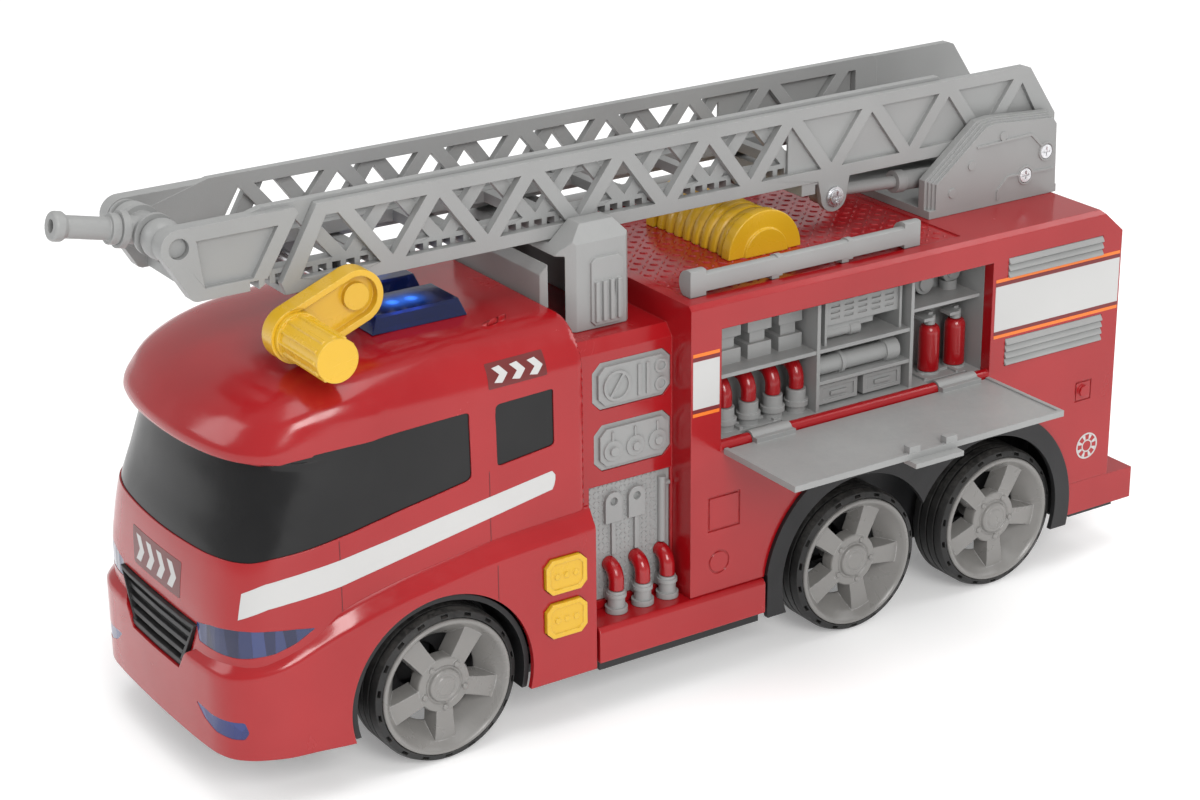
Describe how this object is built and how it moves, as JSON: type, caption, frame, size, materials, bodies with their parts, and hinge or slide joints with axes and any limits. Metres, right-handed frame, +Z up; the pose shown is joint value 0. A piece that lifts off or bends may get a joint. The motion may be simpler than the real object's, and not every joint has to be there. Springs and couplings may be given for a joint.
{
  "type": "toy fire engine",
  "caption": "Toy fire engine with a lifting, telescoping ladder, hand crank, water monitor, drop-down equipment lockers and free-rolling wheels.",
  "frame": {"origin": "on the floor plane touched by the six tyres, on the centre plane x = 0; y = 0 is just behind the pump section, about half way along the engine", "axes": "+Z up, the cab faces -Y, +X is the engine's left side, where the ladder crank is"},
  "size_m": [0.1615, 0.4038, 0.1929],
  "materials": {
    "red_plastic": "glossy moulded red",
    "grey_plastic": "satin moulded grey",
    "wheel_grey": "silver-grey plastic",
    "black_plastic": "satin black",
    "tyre_rubber": "soft black",
    "yellow_plastic": "glossy yellow",
    "blue_clear": "tinted clear blue",
    "red_clear": "tinted clear red",
    "dark_glass": "dark tinted",
    "steel": "plated steel",
    "board_green": "solder resist",
    "battery_jacket": "printed jacket",
    "led_clear": "clear epoxy"
  },
  "bodies": {
    "engine": {"chassis": "black_plastic", "chassis_screws": "steel", "battery_door": "black_plastic", "batteries": "battery_jacket", "battery_contacts": "steel", "circuit_board": "board_green", "speaker": "black_plastic", "leds": "led_clear", "body_shell": "red_plastic", "cab_shell": "red_plastic", "cab_lower": "red_plastic", "cab_windows": "dark_glass", "grille": "black_plastic", "headlamps": "blue_clear", "fog_lamps": "blue_clear", "beacons": "blue_clear", "pump_panel_left": "grey_plastic", "pump_panel_right": "grey_plastic", "tray_left": "grey_plastic", "tray_right": "grey_plastic", "hose_bends": "red_plastic", "extinguishers": "red_plastic", "hinge_pins": "steel", "side_louvres": "grey_plastic", "roof_tubes": "grey_plastic", "hose_reel": "yellow_plastic", "ladder_cradle": "grey_plastic", "ladder_base": "grey_plastic", "base_pins": "steel", "arch_trims": "black_plastic", "side_skirts": "red_plastic", "rear_step": "red_plastic", "tail_lamps": "red_clear", "rear_shutter": "grey_plastic"},
    "switch_knob": {"power_switch": "black_plastic"},
    "left_door": {"door_left": "grey_plastic"},
    "right_door": {"door_right": "grey_plastic"},
    "upper_button": {"button_upper": "yellow_plastic"},
    "lower_button": {"button_lower": "yellow_plastic"},
    "ladder": {"ladder_outer": "grey_plastic", "lug_pin": "steel"},
    "inner_ladder": {"ladder_inner": "grey_plastic"},
    "drive_pinion": {"pinion": "black_plastic", "crank_shaft": "steel"},
    "crank": {"crank_arm": "yellow_plastic"},
    "knob": {"crank_knob": "yellow_plastic"},
    "monitor": {"monitor_body": "grey_plastic", "monitor_nozzle": "grey_plastic"},
    "barrels": {"strut_barrels": "grey_plastic"},
    "rods": {"strut_rods": "grey_plastic"},
    "front_wheels": {"axle_front": "steel", "rims_front": "wheel_grey", "tyres_front": "tyre_rubber"},
    "middle_wheels": {"axle_mid": "steel", "rims_mid": "wheel_grey", "tyres_mid": "tyre_rubber"},
    "rear_wheels": {"axle_rear": "steel", "rims_rear": "wheel_grey", "tyres_rear": "tyre_rubber"}
  },
  "joints": [
    {"name": "front_axle_spin", "type": "hinge", "parent": "engine", "child": "front_wheels", "pos_m": [0, -0.1106, 0.027], "axis": [1, 0, 0], "continuous": true},
    {"name": "middle_axle_spin", "type": "hinge", "parent": "engine", "child": "middle_wheels", "pos_m": [0, 0.0593, 0.027], "axis": [1, 0, 0], "continuous": true},
    {"name": "rear_axle_spin", "type": "hinge", "parent": "engine", "child": "rear_wheels", "pos_m": [0, 0.1254, 0.027], "axis": [1, 0, 0], "continuous": true},
    {"name": "ladder_lift", "type": "hinge", "parent": "engine", "child": "ladder", "pos_m": [0, 0.1647, 0.1557], "axis": [-1, 0, 0], "range_deg": [0, 45]},
    {"name": "strut_swing", "type": "hinge", "parent": "engine", "child": "barrels", "pos_m": [0, 0.155, 0.1482], "axis": [-1, 0, 0], "range_deg": [0, 49]},
    {"name": "strut_slide", "type": "slide", "parent": "barrels", "child": "rods", "axis": [0, -0.9982, 0.0607], "range_m": [0, 0.0087]},
    {"name": "ladder_extend", "type": "slide", "parent": "ladder", "child": "inner_ladder", "axis": [0, -1, 0], "range_m": [0, 0.12]},
    {"name": "pinion_spin", "type": "hinge", "parent": "ladder", "child": "drive_pinion", "pos_m": [0, -0.125, 0.158], "axis": [1, 0, 0], "range_deg": [0, 1090]},
    {"name": "crank_turn", "type": "hinge", "parent": "ladder", "child": "crank", "pos_m": [0, -0.125, 0.158], "axis": [1, 0, 0], "range_deg": [-215, 0]},
    {"name": "knob_spin", "type": "hinge", "parent": "crank", "child": "knob", "pos_m": [0, -0.14648, 0.1495], "axis": [1, 0, 0], "continuous": true},
    {"name": "monitor_tilt", "type": "hinge", "parent": "inner_ladder", "child": "monitor", "pos_m": [0, -0.1794, 0.1812], "axis": [-1, 0, 0], "range_deg": [-25, 40]},
    {"name": "left_door_close", "type": "hinge", "parent": "engine", "child": "left_door", "pos_m": [0.0558, 0, 0.086], "axis": [0, -1, 0], "range_deg": [0, 90]},
    {"name": "right_door_open", "type": "hinge", "parent": "engine", "child": "right_door", "pos_m": [-0.0558, 0, 0.086], "axis": [0, -1, 0], "range_deg": [0, 90]},
    {"name": "upper_button_push", "type": "slide", "parent": "engine", "child": "upper_button", "axis": [-1, 0, 0], "range_m": [0, 0.0014], "stiffness_N_per_m": 400, "springref_m": -0.0005},
    {"name": "lower_button_push", "type": "slide", "parent": "engine", "child": "lower_button", "axis": [-1, 0, 0], "range_m": [0, 0.0014], "stiffness_N_per_m": 400, "springref_m": -0.0005},
    {"name": "power_switch_slide", "type": "slide", "parent": "engine", "child": "switch_knob", "axis": [1, 0, 0], "range_m": [0, 0.0038]}
  ],
  "couplings": [
    {"joint": "strut_swing", "follows": "ladder_lift", "ratio": 1.067},
    {"joint": "strut_slide", "follows": "ladder_lift", "m_per_rad": 0.0106},
    {"joint": "pinion_spin", "follows": "ladder_extend", "rad_per_m": 157.08}
  ]
}
